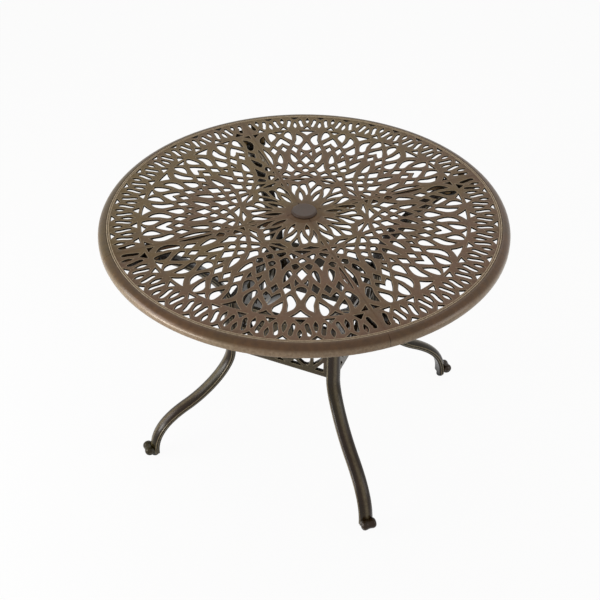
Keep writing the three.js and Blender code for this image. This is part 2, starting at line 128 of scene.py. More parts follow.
def seen_by_eye(nodes):
    """1 on rays that the camera, a mirror or glass sends, and 0 on those that carry light."""
    path = nodes.add("ShaderNodeLightPath")
    either = nodes.add("ShaderNodeMath", operation="MAXIMUM", links={
        0: path.outputs["Is Camera Ray"], 1: path.outputs["Is Glossy Ray"]})
    return nodes.add("ShaderNodeMath", operation="MAXIMUM", links={
        0: either.outputs[0], 1: path.outputs["Is Transmission Ray"]}).outputs[0]


room = bpy.data.worlds.new("room")
room.use_nodes = True
scene.world = room
room_nodes = Nodes(room.node_tree)
ambient = room_nodes.add("ShaderNodeBackground", values={"Color": (1, 0.97, 0.93, 1), "Strength": 0.42})
backdrop = room_nodes.add("ShaderNodeBackground", values={"Color": (1, 1, 1, 1), "Strength": 1})
room_mix = room_nodes.add("ShaderNodeMixShader", links={
    0: seen_by_eye(room_nodes), 1: ambient.outputs[0], 2: backdrop.outputs[0]})
room_nodes.add("ShaderNodeOutputWorld", links={"Surface": room_mix.outputs[0]})


def new_mesh(name, vertices, edges=(), faces=()):
    mesh = bpy.data.meshes.new(name)
    mesh.from_pydata(vertices, edges, faces)
    return mesh


floor_reach = 14
floor_glow = 0.94  # the rest of the floor is paint, on which the table's shadows show
floor_corners = [(x * floor_reach, y * floor_reach, 0) for x, y in ((-1, -1), (1, -1), (1, 1), (-1, 1))]
floor_mesh = new_mesh("floor", floor_corners, faces=[(0, 1, 2, 3)])
floor = in_scene("floor", floor_mesh)
floor_paint = bpy.data.materials.new("white_floor")
floor_paint.use_nodes = True
floor_nodes = Nodes(floor_paint.node_tree)
floor_matt = floor_nodes.add("ShaderNodeBsdfDiffuse", values={"Color": (0.86, 0.86, 0.86, 1)})
floor_white = floor_nodes.add("ShaderNodeEmission", values={"Color": (1, 1, 1, 1), "Strength": 1})
floor_share = floor_nodes.add("ShaderNodeMath", operation="MULTIPLY", values={1: floor_glow}, links={
    0: seen_by_eye(floor_nodes)})
floor_mix = floor_nodes.add("ShaderNodeMixShader", links={
    0: floor_share.outputs[0], 1: floor_matt.outputs[0], 2: floor_white.outputs[0]})
floor_nodes.add("ShaderNodeOutputMaterial", links={"Surface": floor_mix.outputs[0]})
floor_mesh.materials.append(floor_paint)

# The top. Four quarter castings in aluminium, each with a pierced plate, half a bar and a flange
# at both seams, a quarter of the hub and of the rolled rim. They are powder coated in bronze
# brown, with painted shade that keeps the openings dark, and edges painted paler as wear and painted
# highlight.
top_low, top_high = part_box("top_quarter_1")
table_radius = top_high.x
top_height = top_high.z
lip_bottom = top_low.z
hub_radius = 47 * mm
hub_bore = 25 * mm
rosette_radius = 160 * mm
lattice_inner = 176 * mm
lattice_outer = 421 * mm
border_inner = 432 * mm
ledge_inner = 500 * mm
plate_top = top_height - 0.6 * mm
plate_bottom = top_height - 5.8 * mm
bar_half = 6.8 * mm  # the bar along a seam, from the seam to the openings beside it
seam_gap = 0.06 * mm
opening_grow = 0.35 * mm  # the light seen through an opening is narrower than the opening
opening_round = 2.9 * mm  # how far the upper edge of an opening rounds off, inwards and down
opening_fall = 3.8 * mm
opening_draft = 0.3 * mm
opening_least = 12 * mm * mm  # smaller openings stay closed
shortest_side = 0.5 * mm
outline_pitch = 3 * mm
quarter = math.pi / 2

# Openings of each ring, as [share of the ring's width, share of one repeat's angle]. A third
# value makes a sharp corner. Of one that lies on an axis only the half to one side is given, from
# the axis on, and the paired ones lie on both sides of the repeat's own axis.
rosette = {
    "inner": hub_radius, "outer": rosette_radius, "repeats": 12, "first": 0.5,
    "half_shares": [
        [[0.95, 0], [0.905, 0.09], [0.85, 0.118], [0.78, 0.1], [0.7, 0.05], [0.62, 0, 1]],
        [[0.49, 0.5, 1], [0.4, 0.437], [0.28, 0.39], [0.18, 0.4], [0.1, 0.5, 1]],
        [[1, 0.5], [0.995, 0.74, 1], [0.958, 0.62], [0.918, 0.5, 1]],
    ],
    "paired_shares": [
        [[0.79, 0.26], [0.785, 0.35], [0.75, 0.415], [0.69, 0.435], [0.6, 0.375], [0.5, 0.265],
         [0.4, 0.185], [0.325, 0.15, 1], [0.4, 0.1], [0.5, 0.118], [0.6, 0.16], [0.7, 0.208]],
    ],
}
lattice = {
    "inner": lattice_inner, "outer": lattice_outer, "repeats": 16, "first": 0.5,
    "half_shares": [
        [[1, 0], [1, 0.09, 1], [0.978, 0.04], [0.95, 0, 1]],
        [[0.857, 0, 1], [0.81, 0.058], [0.76, 0.108], [0.715, 0.148], [0.675, 0.124, 1], [0.7, 0.063],
         [0.75, 0, 1]],
        [[0.668, 0, 1], [0.607, 0.068, 1], [0.548, 0, 1]],
        [[0.298, 0, 1], [0.25, 0.034], [0.205, 0.08], [0.167, 0.14, 1], [0.135, 0.09], [0.108, 0]],
        [[1.002, 0.5], [1.0, 0.63, 1], [0.962, 0.57], [0.908, 0.5, 1]],
        [[0.745, 0.5, 1], [0.685, 0.45], [0.61, 0.405], [0.575, 0.432], [0.56, 0.5]],
        [[0.436, 0.5, 1], [0.347, 0.624, 1], [0.264, 0.5, 1]],
        [[0.172, 0.5], [0.142, 0.615, 1], [0.095, 0.5]],
        [[0.02, 0.5], [-0.004, 0.34], [-0.02, 0.2, 1], [-0.031, 0.5]],
    ],
    "paired_shares": [
        [[0.992, 0.163], [0.965, 0.11], [0.915, 0.083], [0.87, 0.103], [0.8, 0.205, 1], [0.87, 0.214],
         [0.955, 0.199]],
        [[0.93, 0.308, 1], [0.885, 0.385], [0.815, 0.42], [0.75, 0.393], [0.683, 0.312], [0.715, 0.262],
         [0.76, 0.275], [0.815, 0.3], [0.88, 0.303]],
        [[0.663, 0.22, 1], [0.603, 0.303, 1], [0.518, 0.256, 1], [0.59, 0.16, 1]],
        [[0.497, 0.13, 1], [0.44, 0.115], [0.37, 0.122], [0.32, 0.155], [0.304, 0.195], [0.325, 0.242],
         [0.355, 0.27, 1], [0.415, 0.222], [0.465, 0.17]],
        [[0.278, 0.31], [0.235, 0.42, 1], [0.194, 0.33], [0.22, 0.224, 1]],
        [[0.104, 0.2], [0.07, 0.355, 1], [0.04, 0.22], [0.024, 0.11], [0.045, 0.07, 1], [0.076, 0.12]],
        [[0.538, 0.378, 1], [0.496, 0.44, 1], [0.482, 0.4], [0.45, 0.37, 1], [0.49, 0.367]],
    ],
}
border = {
    "inner": border_inner, "outer": ledge_inner, "repeats": 40, "first": 0,
    "half_shares": [
        [[0.99, 0], [0.985, 0.135, 1], [0.92, 0.07], [0.84, 0, 1]],
        [[0.63, 0, 1], [0.5, 0.042], [0.36, 0.06], [0.25, 0.046], [0.14, 0, 1]],
        [[0.92, 0.5, 1], [0.83, 0.465], [0.73, 0.445], [0.63, 0.458], [0.535, 0.5, 1]],
        [[0, 0.5], [0.005, 0.65, 1], [0.1, 0.585], [0.225, 0.5, 1]],
    ],
    "paired_shares": [
        [[0.82, 0.222], [0.78, 0.178], [0.68, 0.165], [0.54, 0.182], [0.4, 0.218], [0.27, 0.239],
         [0.2, 0.285], [0.27, 0.333], [0.4, 0.326], [0.54, 0.294], [0.68, 0.272], [0.78, 0.26]],
    ],
}

# Between these radii each seam has a slim slot along both sides in place of the openings that its
# bar would cut. A slot's points are [radius, distance from the seam(, 1 = sharp corner)].
slot_belt = (238 * mm, 372 * mm)
seam_slot = [[250, 6, 1], [270, 11.6], [292, 14.5], [315, 12.4], [338, 7, 1], [315, 5.6], [292, 5],
             [270, 5.3]]


def all_openings(half_shares, paired_shares):
    """Every opening of one repeat: the halves mirrored in their own axis, the pairs in turn 0."""
    shares = []
    for half in half_shares:
        axis = half[0][1]
        shares.append(half + [[p[0], 2 * axis - p[1], *p[2:]] for p in reversed(half) if p[1] != axis])
    return shares + paired_shares + [[[p[0], -p[1], *p[2:]] for p in pair] for pair in paired_shares]


def curved_outline(shares, places):
    """A closed anticlockwise line through an opening's points, in steps of about outline_pitch."""
    line = []
    sharp = [len(point) > 2 for point in shares]
    for index, start in enumerate(places):
        ahead = (index + 1) % len(places)
        end = places[ahead]
        before = places[index - 1]
        after = places[(index + 2) % len(places)]
        length = (end - start).length
        leave = end - start if sharp[index] else (end - before).normalized() * length
        arrive = end - start if sharp[ahead] else (after - start).normalized() * length
        steps = max(2, round(length / outline_pitch))
        for step in range(steps):
            t = step / steps
            line.append(start * (1 + 2 * t) * (1 - t) ** 2 + leave * t * (1 - t) ** 2
                        + end * t * t * (3 - 2 * t) - arrive * t * t * (1 - t))
    return turned_anticlockwise(line)


def turned_anticlockwise(line):
    return line if loop_area(line) > 0 else line[::-1]


def loop_area(loop):
    """The area that a loop encloses, less than 0 if it runs clockwise."""
    return sum(a.x * b.y - b.x * a.y for a, b in zip(loop, loop[1:] + loop[:1])) / 2


def moved_out(line, distance):
    """The line with each point moved square to it, away from what it encloses."""
    corner_most = 2.2  # a sharp corner moves at most so many times the distance
    result = []
    for index, point in enumerate(line):
        ahead = (line[(index + 1) % len(line)] - point).normalized()
        behind = (point - line[index - 1]).normalized()
        square = Vector((ahead.y + behind.y, -ahead.x - behind.x))
        reach = min(corner_most, 2 / max(square.length, 0.1))
        result.append(point + square.normalized() * distance * reach)
    return result


def loop_edges(loops):
    """The edges of closed loops, as indices into all their points in a row."""
    edges, first = [], 0
    for loop in loops:
        edges += [(first + index, first + (index + 1) % len(loop)) for index in range(len(loop))]
        first += len(loop)
    return edges


def loops_mesh(loops):
    """A mesh of closed loops of edges only."""
    return new_mesh("loops", [(point[0], point[1], 0) for loop in loops for point in loop], loop_edges(loops))


def tree_result(tree, inputs, own_mesh=None):
    """The plain mesh that a geometry tree makes from its inputs, given by their names.

    The tree stands on its own mesh. An input that is a mesh reaches it on an object of its own.
    """
    carrier = in_scene(tree.name, own_mesh or new_mesh(tree.name, []))
    helpers = [carrier]
    modifier = carrier.modifiers.new(tree.name, "NODES")
    modifier.node_group = tree
    for item in tree.interface.items_tree:
        if item.item_type == "SOCKET" and item.in_out == "INPUT" and item.name in inputs:
            value = inputs[item.name]
            if isinstance(value, bpy.types.Mesh):
                value = in_scene(item.name, value)
                helpers.append(value)
            modifier[item.identifier] = value
    evaluated = carrier.evaluated_get(bpy.context.evaluated_depsgraph_get())
    mesh = bpy.data.meshes.new_from_object(evaluated)
    for helper in helpers:
        bpy.data.objects.remove(helper)
    return mesh


def geometry_tree(name, sockets):
    """A new tree with its named inputs; also gives its nodes and the outputs of its group input."""
    tree = bpy.data.node_groups.new(name, "GeometryNodeTree")
    nodes = Nodes(tree)
    for socket_name, kind in sockets:
        tree.interface.new_socket(socket_name, in_out="INPUT", socket_type="NodeSocket" + kind)
    tree.interface.new_socket("Result", in_out="OUTPUT", socket_type="NodeSocketGeometry")
    return tree, nodes, nodes.add("NodeGroupInput").outputs


def close_tree(nodes, source, material):
    """Ends a tree: instances become real, and the material goes on."""
    real = nodes.add("GeometryNodeRealizeInstances", links={0: source})
    painted = nodes.add("GeometryNodeSetMaterial", links={0: real.outputs[0], "Material": material})
    nodes.add("NodeGroupOutput", links={0: painted.outputs[0]})


# copies the carrier's own loops round the table's axis
round_the_centre, nodes, given = geometry_tree("round_the_centre", [
    ("Unit", "Geometry"), ("Copies", "Int"), ("First turn", "Float"), ("Step", "Float"),
    ("Material", "Material")])
points = nodes.add("GeometryNodePoints", links={"Count": given["Copies"]})
index = nodes.add("GeometryNodeInputIndex")
turn = nodes.add("ShaderNodeMath", operation="MULTIPLY_ADD", links={
    0: index.outputs[0], 1: given["Step"], 2: given["First turn"]})
rotation = nodes.add("ShaderNodeCombineXYZ", links={"Z": turn.outputs[0]})
copies = nodes.add("GeometryNodeInstanceOnPoints", links={
    "Points": points.outputs[0], "Instance": given["Unit"], "Rotation": rotation.outputs[0]})
close_tree(nodes, copies.outputs[0], given["Material"])


def at_angle(radius, angle):
    return Vector((radius * math.cos(angle), radius * math.sin(angle)))


def ring_loops(ring):
    """All openings of a ring, as closed lines, each copied round the centre."""
    step = 2 * math.pi / ring["repeats"]
    width = ring["outer"] - ring["inner"]
    unit = []
    for shares in all_openings(ring["half_shares"], ring["paired_shares"]):
        places = [at_angle(ring["inner"] + point[0] * width, point[1] * step) for point in shares]
        unit.append(moved_out(curved_outline(shares, places), opening_grow))
    copied = tree_result(round_the_centre, {
        "Copies": ring["repeats"], "First turn": ring["first"] * step, "Step": step,
    }, loops_mesh(unit))
    sizes = [len(line) for line in unit] * ring["repeats"]
    places = [vertex.co.xy.copy() for vertex in copied.vertices]
    loops = []
    for size in sizes:
        loops.append(places[:size])
        places = places[size:]
    return loops


def cut_at_line(loop, normal, least):
    """The part of a loop that lies at least so far along the normal."""
    kept = []
    for index, point in enumerate(loop):
        before = loop[index - 1]
        here, there = point.dot(normal) - least, before.dot(normal) - least
        if (here > 0) != (there > 0):
            kept.append(before + (point - before) * (there / (there - here)))
        if here > 0:
            kept.append(point)
    return kept


def thinned(loop, least):
    """The loop without points that lie closer than this to the one before."""
    kept = []
    for point in loop:
        if not kept or (point - kept[-1]).length > least:
            kept.append(point)
    while len(kept) > 3 and (kept[0] - kept[-1]).length <= least:
        kept.pop()
    return kept


def filled(loops):
    """Triangles over the first loop less the others, as indices into all their points in a row."""
    points = [point for loop in loops for point in loop]
    owner = [number for number, loop in enumerate(loops) for point in loop]
    made, _, triangles, origins, _, _ = geometry.delaunay_2d_cdt(
        points, loop_edges(loops), [], 1, 1e-9, True)
    result = []
    for triangle in triangles:
        corners = [origins[index][0] if origins[index] else None for index in triangle]
        if None in corners:
            continue
        owners = {owner[corner] for corner in corners}
        middle = sum((made[index] for index in triangle), Vector((0, 0))) / 3
        if len(owners) == 1 and 0 not in owners and inside(middle, loops[owners.pop()]):
            continue
        result.append(corners)
    return result


def inside(point, loop):
    crossings = 0
    for a, b in zip(loop, loop[1:] + loop[:1]):
        if (a.y > point.y) != (b.y > point.y):
            crossings += point.x < a.x + (b.x - a.x) * (point.y - a.y) / (b.y - a.y)
    return crossings % 2 == 1


def pierced_plate(shape, outline, holes, top, bottom, rounding, fall, draft, round_outside):
    """Adds a plate with rounded edges round its holes to a bmesh, with how pale each point is painted (wear
    and painted highlight) and how dark (painted shade).
    """
    worn, deep = (shape.verts.layers.float.new(name) for name in ("worn", "deep"))
    levels = []  # how far into the metal, how high, how pale as wear and painted highlight, how dark as painted shade
    for share, wear_and_highlight_level, depth in ((0, 0.1, 0), (0.25, 0.9, 0.1), (0.5, 0.3, 0.85), (0.75, 0, 1), (1, 0, 1)):
        angle = share * quarter
        levels.append((rounding * (1 - math.sin(angle)), top - fall * (1 - math.cos(angle)), wear_and_highlight_level, depth))
    under = 0.75 * mm  # the small edge along the lower side
    levels.append((-draft, bottom + under, 0, 1))
    levels.append((under - draft, bottom, 0, 0.25))
    loops = [turned_anticlockwise(loop) for loop in (outline, *holes)]
    rings = []
    for number, loop in enumerate(loops):
        rings.append([])
        for inset, height, wear_and_highlight_level, depth in levels:
            if number == 0 and not round_outside:
                inset, wear_and_highlight_level = 0, 0
            line = moved_out(loop, -inset if number == 0 else inset)
            ring = []
            for point in line:
                vertex = shape.verts.new((point.x, point.y, height))
                vertex[worn] = wear_and_highlight_level
                vertex[deep] = depth
                ring.append(vertex)
            rings[-1].append(ring)
    for sides in rings:
        for upper, lower in zip(sides, sides[1:]):
            for index in range(len(upper)):
                shape.faces.new((upper[index - 1], upper[index], lower[index], lower[index - 1]))
    for level in (0, -1):
        flat = [[vertex.co.xy for vertex in sides[level]] for sides in rings]
        corners = [vertex for sides in rings for vertex in sides[level]]
        for triangle in filled(flat):
            shape.faces.new([corners[index] for index in triangle])


def close_sweep(nodes, path, given):
    """Ends a tree that draws the section object along a path."""
    section = nodes.add("GeometryNodeObjectInfo", links={"Object": given["Section"]})
    outline = nodes.add("GeometryNodeMeshToCurve", links={"Mesh": section.outputs["Geometry"]})
    swept = nodes.add("GeometryNodeCurveToMesh", values={"Fill Caps": True}, links={
        "Curve": path, "Profile Curve": outline.outputs[0]})
    close_tree(nodes, swept.outputs[0], given["Material"])


# draws a section, of [out, down], along an arc round the table's axis
sweep_arc, nodes, given = geometry_tree("sweep_arc", [
    ("Radius", "Float"), ("Start", "Float"), ("Sweep", "Float"), ("Steps", "Int"),
    ("Section", "Object"), ("Material", "Material")])
arc = nodes.add("GeometryNodeCurveArc", links={
    "Resolution": given["Steps"], "Radius": given["Radius"], "Start Angle": given["Start"],
    "Sweep Angle": given["Sweep"]})
close_sweep(nodes, arc.outputs[0], given)


def swept_round(section, gap, steps):
    """A mesh of a section, of [radius, height] points, swept round one quarter about +X.

    The gap is the angle left free at either end.
    """
    inner = min(point[0] for point in section)
    loop = [(radius - inner, -height) for radius, height in section]
    return tree_result(sweep_arc, {
        "Radius": inner, "Start": gap - quarter / 2, "Sweep": quarter - 2 * gap, "Steps": steps,
        "Section": loops_mesh([loop])})


def marked(mesh, marks):
    """Marks a swept mesh as pale, wear and painted highlight (over 0), or dark, painted shade (under 0), by
    the points of its section.
    """
    for name, sign in (("worn", 1), ("deep", -1)):
        shares = [max(0, sign * marks[index % len(marks)]) for index in range(len(mesh.vertices))]
        mesh.attributes.new(name, "FLOAT", "POINT").data.foreach_set("value", shares)
    return mesh


def arc_points(centre, radii, start, end, steps):
    """Points along an arc of a circle or ellipse, by angles in degrees."""
    points = []
    for step in range(steps + 1):
        angle = math.radians(start + (end - start) * step / steps)
        points.append((centre[0] + radii[0] * math.cos(angle), centre[1] + radii[1] * math.sin(angle)))
    return points


ledge_drop = 1 * mm
rim_inner = ledge_inner + 3 * mm
bead_radius = 1.5 * mm
bead_places = [504 * mm, 508.5 * mm]
bead_groove = 0.5 * mm
roll_start = 511.5 * mm
roll_top = top_height - 0.4 * mm
roll_height = 20 * mm
lip_wall = 6 * mm
lip_inner_high = top_height - 18 * mm  # below this the lip's inner side stands upright
roll_inner = table_radius - 15 * mm
rim_steps = 40


def rim_section():
    """The ledge with two beads, and the edge that rolls over and down."""
    ledge = top_height - ledge_drop
    section = [(rim_inner, plate_bottom), (rim_inner, ledge)]
    for place in bead_places:
        section += arc_points((place, top_height - bead_radius), (bead_radius, bead_radius), 150, 30, 6)
        section.append((place + 1.5 * bead_radius, ledge - bead_groove))
    radii = (table_radius - roll_start, roll_height)
    section += arc_points((roll_start, roll_top - roll_height), radii, 90, 0, 12)
    section += arc_points((table_radius - lip_wall / 2, lip_bottom + lip_wall / 2),
                          (lip_wall / 2, lip_wall / 2), 0, -180, 6)
    return section + [(table_radius - lip_wall, lip_inner_high), (roll_inner, plate_bottom)]


def rim_mark(radius, height):
    """Beads and the outer lip are painted pale, as painted highlight with wear, and painted shade darkens
    beside the beads and the roll's inner side.
    """
    bead_crown, inner_side, lip_pale_start, lip_pale_fade = 0.8 * mm, 9 * mm, 8 * mm, 20 * mm  # below the top
    depth = top_height - height
    if radius < roll_start:
        return 0.9 if depth < bead_crown else -0.8
    if radius < table_radius - lip_wall * 0.75:
        return -1 if depth > inner_side else 0
    return max(0, min(0.35, (depth - lip_pale_start) / lip_pale_fade))


def add_mesh(shape, mesh, matrix=Matrix.Identity(4)):
    """Adds a whole mesh to a bmesh, with its shared points merged and its faces turned out."""
    part = bmesh.new()
    part.from_mesh(mesh)
    bmesh.ops.remove_doubles(part, verts=part.verts, dist=1e-6)
    bmesh.ops.transform(part, matrix=matrix, verts=part.verts)
    bmesh.ops.recalc_face_normals(part, faces=part.faces)
    part.to_mesh(mesh)
    part.free()
    shape.from_mesh(mesh)


def straight_bar(section, start, end):
    """A mesh of a section, of [across, height] points, from one radius to another along +X."""
    vertices = [(along, across, height) for along in (start, end) for across, height in section]
    count = len(section)
    faces = [tuple(range(count)), tuple(range(2 * count - 1, count - 1, -1))]
    for index in range(count):
        after = (index + 1) % count
        faces.append((index, index + count, after + count, after))
    return new_mesh("bar", vertices, faces=faces)


def turned_mesh(profile, steps):
    """A mesh of revolution about Z, from [radius, height] points that begin and end on the axis."""
    vertices = [(0, 0, profile[0][1]), (0, 0, profile[-1][1])]
    rings = profile[1:-1]
    for radius, height in rings:
        vertices += [(*at_angle(radius, 2 * math.pi * step / steps), height) for step in range(steps)]
    faces = []
    last = 2 + (len(rings) - 1) * steps
    for step in range(steps):
        after = (step + 1) % steps
        faces.append((0, 2 + after, 2 + step))
        faces.append((1, last + step, last + after))
        for ring in range(len(rings) - 1):
            low = 2 + ring * steps
            faces.append((low + step, low + after, low + steps + after, low + steps + step))
    return new_mesh("turned", vertices, faces=faces)


def into_mesh(name, shape):
    """The mesh of a bmesh, which it uses up."""
    mesh = bpy.data.meshes.new(name)
    shape.to_mesh(mesh)
    shape.free()
    return mesh


hub_depth = 24 * mm
hub_edge = 1.2 * mm
hub_steps = 16
flange_width = 5 * mm
flange_start = hub_radius - 3 * mm
flange_end = ledge_inner + 0.5 * mm
flange_bottom = top_height - 18 * mm
sunk_in = 1 * mm  # how far a flange or boss reaches up into the plate
plate_lap = 2 * mm  # how far the plate reaches into the hub
plate_steps = 32
boss_radius = 9 * mm
leg_screw_radii = [406 * mm, 476 * mm]
leg_screw_aside = 27.5 * mm


def top_quarter_mesh():
    """One quarter about +X, made of its plate, rim, hub, flanges and screw bosses."""
    normals = [Vector((math.sin(quarter / 2), side * math.cos(quarter / 2))) for side in (1, -1)]
    holes = []
    for side in (1, -1):
        turn = Matrix.Rotation(side * quarter / 2, 2)
        places = [turn @ Vector((point[0], -side * point[1])) * mm for point in seam_slot]
        holes.append(curved_outline(seam_slot, places))
    for loop in ring_loops(rosette) + ring_loops(lattice) + ring_loops(border):
        reach = loop[0].length
        cut = min(point.dot(normal) for point in loop for normal in normals) < bar_half
        if cut and slot_belt[0] < reach < slot_belt[1]:
            continue
        for normal in normals:
            loop = cut_at_line(loop, normal, bar_half) if loop else loop
        loop = thinned(loop, shortest_side)
        if len(loop) > 3 and abs(loop_area(loop)) > opening_least:
            holes.append(loop)
    outline = []
    for radius, turns in ((hub_radius - plate_lap, (-1, 1)), (bead_places[0], (1, -1))):
        reach = quarter / 2 - math.asin(seam_gap / 2 / radius)
        for step in range(plate_steps + 1):
            angle = reach * (turns[0] + (turns[1] - turns[0]) * step / plate_steps)
            outline.append(at_angle(radius, angle))
    shape = bmesh.new()
    pierced_plate(shape, outline, holes, plate_top, plate_bottom, opening_round, opening_fall,
                  opening_draft, round_outside=False)
    bmesh.ops.recalc_face_normals(shape, faces=shape.faces)
    section = rim_section()
    rim = swept_round(section, seam_gap / 2 / ledge_inner, rim_steps)
    add_mesh(shape, marked(rim, [rim_mark(*point) for point in section]))
    hub = [(hub_bore, top_height - hub_depth), (hub_bore, top_height)]
    hub += arc_points((hub_radius - hub_edge, top_height - hub_edge), (hub_edge, hub_edge), 90, 0, 4)
    hub.append((hub_radius, top_height - hub_depth))
    add_mesh(shape, swept_round(hub, seam_gap / 2 / hub_bore, hub_steps))
    for side in (-1, 1):
        turn = Matrix.Rotation(side * quarter / 2, 4, "Z")
        near, far = -side * seam_gap / 2, -side * flange_width
        flange_top = plate_bottom + sunk_in
        flange = [(near, flange_bottom), (far, flange_bottom), (far, flange_top), (near, flange_top)]
        add_mesh(shape, straight_bar(flange, flange_start, flange_end), turn)
        boss = [(0, flange_bottom), (boss_radius, flange_bottom), (boss_radius, flange_top), (0, flange_top)]
        for radius in leg_screw_radii:
            place = Matrix.Translation((radius, -side * leg_screw_aside, 0))
            add_mesh(shape, turned_mesh(boss, steps=20), turn @ place)
    return into_mesh("top_quarter", shape)


class Paint(Nodes):
    """A new material and its nodes, whose patterns are read at a point's place on the table."""

    def __init__(self, name):
        self.material = bpy.data.materials.new(name)
        self.material.use_nodes = True
        super().__init__(self.material.node_tree)
        self.where = self.add("ShaderNodeTexCoord").outputs["Object"]

    def noise(self, scale, detail):
        return self.add("ShaderNodeTexNoise", values={"Scale": scale, "Detail": detail}, links={
            "Vector": self.where}).outputs["Fac"]

    def mark(self, name):
        return self.add("ShaderNodeAttribute", attribute_name=name).outputs["Fac"]

    def mapped(self, source, low, high, at_low, at_high):
        return self.add("ShaderNodeMapRange", values={1: low, 2: high, 3: at_low, 4: at_high}, links={
            0: source}).outputs[0]

    def ramp(self, source, first, last, *others):
        """Colours at the source's values, each given as [value, colour]."""
        node = self.add("ShaderNodeValToRGB", links={"Fac": source})
        elements = node.color_ramp.elements
        for element, (value, colour) in zip(elements, (first, last)):
            element.position, element.color = value, colour
        for value, colour in others:
            elements.new(value).color = colour
        return node.outputs[0]

    def scaled(self, colour, share):
        return self.add("ShaderNodeVectorMath", operation="SCALE", links={
            0: colour, "Scale": share}).outputs[0]

    def bump(self, height, strength, distance, **over):
        return self.add("ShaderNodeBump", values={"Strength": strength, "Distance": distance}, links={
            "Height": height, **over}).outputs[0]

    def done(self, values, links):
        """Ends the material with its shader and returns it."""
        shader = self.add("ShaderNodeBsdfPrincipled", values=values, links=links)
        self.add("ShaderNodeOutputMaterial", links={"Surface": shader.outputs[0]})
        return self.material


colour_lean = (0.32, -0.13, 0)  # a metre this way drifts the colour from olive towards rust by so much: rust towards +X and -Y, olive towards -X and +Y
# painted shade with a tint: the rim's colour is multiplied by this, darker and yellower
rim_shade_and_tint = (0.76, 0.7, 0.42, 1)
rim_fade = 8 * mm


def cast_paint(name, plain, olive, rust, wear_and_highlight_colour, roughness, coat, coat_from=None):
    """Bronze powder coat: drifts between brown, olive and rust, fine orange peel, edges painted pale as wear
    and painted highlight, and painted shade where marked dark.

    Its clear coat lies all over, or only beyond the radius coat_from, where arms polish it; there the colour
    is also multiplied darker and yellower, the darkening being painted shade.
    """
    paint = Paint(name)
    lean = paint.add("ShaderNodeVectorMath", operation="DOT_PRODUCT", values={1: colour_lean}, links={
        0: paint.where})
    drift = paint.add("ShaderNodeMath", operation="ADD", links={
        0: paint.noise(scale=5.5, detail=3), 1: lean.outputs["Value"]})
    mottle = paint.noise(scale=70, detail=5)
    shaded = paint.scaled(paint.ramp(drift.outputs[0], (0.36, olive), (0.66, rust), (0.5, plain)),
                          paint.mapped(mottle, 0.3, 0.7, 0.82, 1.16))
    if coat_from is not None:
        flat = paint.add("ShaderNodeVectorMath", operation="MULTIPLY", values={1: (1, 1, 0)}, links={
            0: paint.where})
        reach = paint.add("ShaderNodeVectorMath", operation="LENGTH", links={0: flat.outputs[0]})
        beyond = paint.mapped(reach.outputs["Value"], coat_from, coat_from + rim_fade, 0, 1)
        # painted shade with a tint on the rim, beyond coat_from
        shaded = paint.add("ShaderNodeMix", data_type="RGBA", blend_type="MULTIPLY", links={
            0: beyond, 6: shaded}, values={7: rim_shade_and_tint}).outputs[2]
    # wear and painted highlight: points marked pale turn towards the pale colour, in patches
    pale_patches = paint.mapped(paint.noise(scale=160, detail=2), 0.35, 0.65, 0.5, 0.8)
    pale_share = paint.add("ShaderNodeMath", operation="MULTIPLY", links={
        0: paint.mark("worn"), 1: pale_patches})
    wear_and_highlight_mix = paint.add("ShaderNodeMix", data_type="RGBA", links={
        0: pale_share.outputs[0], 6: shaded}, values={7: wear_and_highlight_colour})
    # painted shade: points marked dark keep as little as 7 % of their colour
    light = paint.mapped(paint.mark("deep"), 0, 1, 1, 0.07)
    orange_peel = paint.bump(paint.noise(scale=700, detail=2), strength=0.12, distance=0.6 * mm)
    cast_skin = paint.bump(paint.noise(scale=90, detail=2), strength=0.35, distance=1.2 * mm,
                           Normal=orange_peel)
    values = {"Metallic": 0.15, "Specular IOR Level": 0.14, "Coat Roughness": 0.22}
    links = {"Base Color": paint.scaled(wear_and_highlight_mix.outputs[2], light), "Normal": cast_skin,
             "Roughness": paint.mapped(mottle, 0.3, 0.7, roughness - 0.05, roughness + 0.07)}
    if coat_from is None:
        values["Coat Weight"] = coat
    else:
        links["Coat Weight"] = paint.mapped(beyond, 0, 1, 0, coat)
    return paint.done(values, links)


crease_angles = {"cast_top": 50, "cast_base": 40, "fasteners": 35, "glides": 40, "plug": 40}


def finished(name, mesh, material, slot, replaced, body="root"):
    """Makes a mesh a piece of the table: smooth, painted, riding on its body."""
    mesh.name = name
    mesh.materials.clear()
    mesh.materials.append(material)
    mesh.shade_smooth()
    mesh.set_sharp_from_angle(angle=math.radians(crease_angles[slot]))
    piece = in_scene(name, mesh)
    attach(piece, body)
    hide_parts(*replaced)


def four_castings(name, mesh, first_angle, material, slot, solid):
    """Four copies of a casting round the table, each in place of one solid."""
    for index in range(4):
        copy = mesh.copy()
        copy.transform(Matrix.Rotation(first_angle + index * quarter, 4, "Z"))
        finished(f"{name}_{index + 1}", copy, material, slot, [f"{solid}_{index + 1}"])


top_paint = cast_paint("bronze_top", srgb(95, 72, 48), srgb(100, 81, 46), srgb(102, 74, 55),
                       srgb(212, 192, 162), roughness=0.38, coat=0.46, coat_from=roll_start - 6 * mm)
four_castings("top_casting", top_quarter_mesh(), 0, top_paint, "cast_top", "top_quarter")

